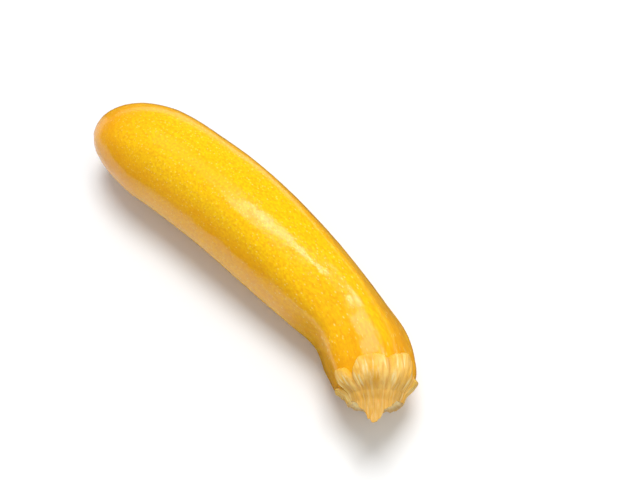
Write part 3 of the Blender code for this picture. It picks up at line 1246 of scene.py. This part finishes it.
@dataclass
class Stem:
    """The torn stub of the stem, on the fruit's shoulder."""

    form: Form
    stub: Stub
    segments: int = 320
    flank_cuts: int = 99
    face_rings: int = 44
    seat_rings: int = 3
    inset_reach: float = 0.98
    tolerance: float = 0.0001

    def build(self) -> Piece:
        """Models the stem from a cylinder with cut sides and inset ends.

        Returns:
            The piece.
        """
        deselect_all()
        bpy.ops.mesh.primitive_cylinder_add(vertices=self.segments, radius=1.0, depth=1.0,
                                            location=(0, 0, 0.5))
        bpy.ops.object.transform_apply(location=True)
        piece = Piece("stem_stub")
        self.inset_end(piece, 1.0, self.face_rings)
        self.inset_end(piece, 0.0, self.seat_rings)
        self.cut_side(piece)
        piece.move_points(self.shape(piece, piece.points()))
        bpy.ops.object.shade_smooth()
        return piece

    def inset_end(self, piece: Piece, height: float, rings: int) -> None:
        """Insets the face at one end again and again, and closes it with a fan.

        Args:
            piece: the stem.
            height: which end, 0 for the seat and 1 for the torn face.
            rings: how many insets are made.
        """
        picked = [abs(face.normal.z) > 0.5 and abs(face.center.z - height) < self.tolerance
                  for face in piece.mesh.polygons]
        piece.select(Part.FACE, picked)
        for _ in range(rings):
            bpy.ops.mesh.inset(thickness=self.inset_reach / (rings + 1))
        bpy.ops.mesh.poke()
        bpy.ops.object.mode_set(mode="OBJECT")

    def cut_side(self, piece: Piece) -> None:
        """Cuts the side into rings.

        Args:
            piece: the stem.
        """
        heights = piece.points()[:, 2]
        picked = [abs(heights[edge.vertices[0]] - heights[edge.vertices[1]]) > 0.5
                  for edge in piece.mesh.edges]
        piece.select(Part.EDGE, picked)
        bpy.ops.mesh.subdivide(number_cuts=self.flank_cuts)
        bpy.ops.object.mode_set(mode="OBJECT")

    def shape(self, piece: Piece, unit: Array) -> Array:
        """Where the points of the unit cylinder go on the stem.

        Args:
            piece: the stem, which notes what its finish needs.
            unit: the cylinder's points.

        Returns:
            The places, in millimetres.
        """
        angle = np.degrees(np.arctan2(unit[:, 1], unit[:, 0]))
        reach, share = np.hypot(unit[:, 0], unit[:, 1]), unit[:, 2]
        inward = np.clip(1 - reach, 0, 1)
        inside = inward > self.tolerance
        on_face, on_seat = (share > 1 - self.tolerance) & inside, (share < self.tolerance) & inside
        station, radius = self.stub.flank(share, angle)
        face_station, face_radius = self.stub.face(inward, angle)
        station = np.where(on_face, face_station, station)
        radius = np.where(on_face, face_radius, radius)
        places = self.form.place(station, radius, angle)
        edge = self.stub.edge(angle)
        seat_station = self.form.length - (self.form.length - edge) * reach ** 2
        seat = self.form.skin(seat_station, angle) - self.form.normal(seat_station, angle) * self.stub.sink
        places = np.where(on_seat[:, None], seat, places)
        piece.note("growth", self.form.unbent(station, radius, angle))
        piece.note("strand", self.stub.strand(station, radius, angle))
        piece.note("crown", self.stub.rib(angle)[0])
        piece.note("lip", np.where(on_seat, 0.0, self.stub.past_edge(station, angle)))
        piece.note("face", np.where(on_face, inward, 0.0))
        piece.note("bundle", np.where(on_face, self.stub.bundle(inward, angle), 0.0))
        return places


@dataclass(frozen=True)
class Camera:
    """The camera at the photograph's viewing angle."""

    azimuth: float = 49.4
    elevation: float = 67.0
    lens: float = 85.0
    aim: tuple[float, float, float] = (13.45, 20.93, 20.5)
    distance: float = 623.0

    def place(self) -> None:
        """Adds the camera and makes it the scene's own."""
        turn, lift = math.radians(self.azimuth), math.radians(self.elevation)
        out = Vector((math.cos(lift) * math.sin(turn), -math.cos(lift) * math.cos(turn), math.sin(lift)))
        spot = (Vector(self.aim) + out * self.distance) * MM
        bpy.ops.object.camera_add(location=spot, rotation=(-out).to_track_quat("-Z", "Y").to_euler())
        camera = bpy.context.active_object
        camera.data.lens = self.lens
        camera.data.clip_start, camera.data.clip_end = 0.01, 100.0
        bpy.context.scene.camera = camera


@dataclass(frozen=True)
class Sun:
    """A soft light from far away, so that it falls on all of the floor alike."""

    name: str
    towards: tuple[float, float, float]
    strength: float
    width: float
    colour: tuple[float, float, float] = (1.0, 1.0, 1.0)

    def place(self) -> None:
        """Adds the light, which doesn't show in the gloss."""
        aim = Vector(self.towards).to_track_quat("Z", "Y").to_euler()
        bpy.ops.object.light_add(type="SUN", location=Vector(self.towards).normalized(), rotation=aim)
        light = bpy.context.active_object
        light.name = self.name
        light.data.energy = self.strength
        light.data.angle = math.radians(self.width)
        light.data.color = self.colour
        light.visible_glossy = False


@dataclass(frozen=True)
class SoftBox:
    """A soft box near the fruit, whose mirror image is the highlight on the skin."""

    name: str
    centre: tuple[float, float, float]
    aim: tuple[float, float, float]
    size: tuple[float, float]
    watts: float
    reach: Reach = Reach.BOTH

    def place(self) -> None:
        """Adds the light, with its long side along the fruit."""
        away = (Vector(self.centre) - Vector(self.aim)).to_track_quat("Z", "X").to_euler()
        bpy.ops.object.light_add(type="AREA", location=Vector(self.centre) * MM, rotation=away)
        light = bpy.context.active_object
        light.name = self.name
        light.data.shape = "RECTANGLE"
        light.data.size, light.data.size_y = (side * MM for side in self.size)
        light.data.energy = self.watts
        light.visible_camera = False
        light.visible_diffuse = self.reach is Reach.BOTH


@dataclass(frozen=True)
class Studio:
    """The plain floor, the soft light and the camera."""

    floor_size: float = 40.0
    sky: Colour = (0.54, 0.54, 0.55, 1.0)
    dark_room: Colour = (0.10, 0.10, 0.10, 1.0)
    backdrop: Colour = (0.97, 0.97, 0.97, 1.0)
    lights: tuple[Sun | SoftBox, ...] = field(default=(
        Sun("overhead", (-0.297, 0.254, 0.92), 2.2, 30.0),
        Sun("warm_fill", (0.35, 0.85, 0.4), 0.4, 60.0, (1.0, 0.88, 0.66)),
        SoftBox("key_box", (-20, 235, 690), (15, 5, 38), (125, 70), 0.21),
        SoftBox("second_box", (-98, 228, 690), (5, 5, 38), (110, 80), 0.115),
        SoftBox("shoulder_box", (-42, 34, 236), (66, -4, 36), (46, 68), 0.024, Reach.GLOSS),
    ))
    camera: Camera = Camera()

    def build(self) -> None:
        """Sets up the whole studio."""
        deselect_all()
        bpy.ops.mesh.primitive_plane_add(size=self.floor_size, location=(0, 0, 0))
        floor = bpy.context.active_object
        floor.name = "floor"
        floor.data.materials.append(PaleFloor().build())
        self.light_world()
        for light in self.lights:
            light.place()
        self.camera.place()
        bpy.context.scene.view_settings.view_transform = "Standard"
        logging.info("studio: floor, %d lights, camera", len(self.lights))

    def light_world(self) -> None:
        """Gives the air an even light, a dark room in the gloss and a pale backdrop to look at."""
        world = bpy.data.worlds.new("soft_air")
        world.use_nodes = True
        sketch = Sketch(world.node_tree)
        path = sketch.add("LightPath", {})
        colour = sketch.mix(path.outputs["Is Glossy Ray"], self.sky, self.dark_room)
        colour = sketch.mix(path.outputs["Is Camera Ray"], colour, self.backdrop)
        sketch.feed(world.node_tree.nodes["Background"].inputs["Color"], colour)
        bpy.context.scene.world = world


def main() -> None:
    """Builds the zucchini and the studio round it."""
    logging.basicConfig(level=logging.INFO, format="%(message)s")
    form = Form()
    stub = Stub(form)
    effects = Effects()
    Fruit(form, stub, BlossomScar(form)).build().dress(WaxySkin().build(effects), Slot.SKIN, Node.FRUIT)
    Stem(form, stub).build().dress(FibrousRind().build(effects), Slot.RIND, Node.STEM)
    Studio().build()


if __name__ == "__main__":
    main()
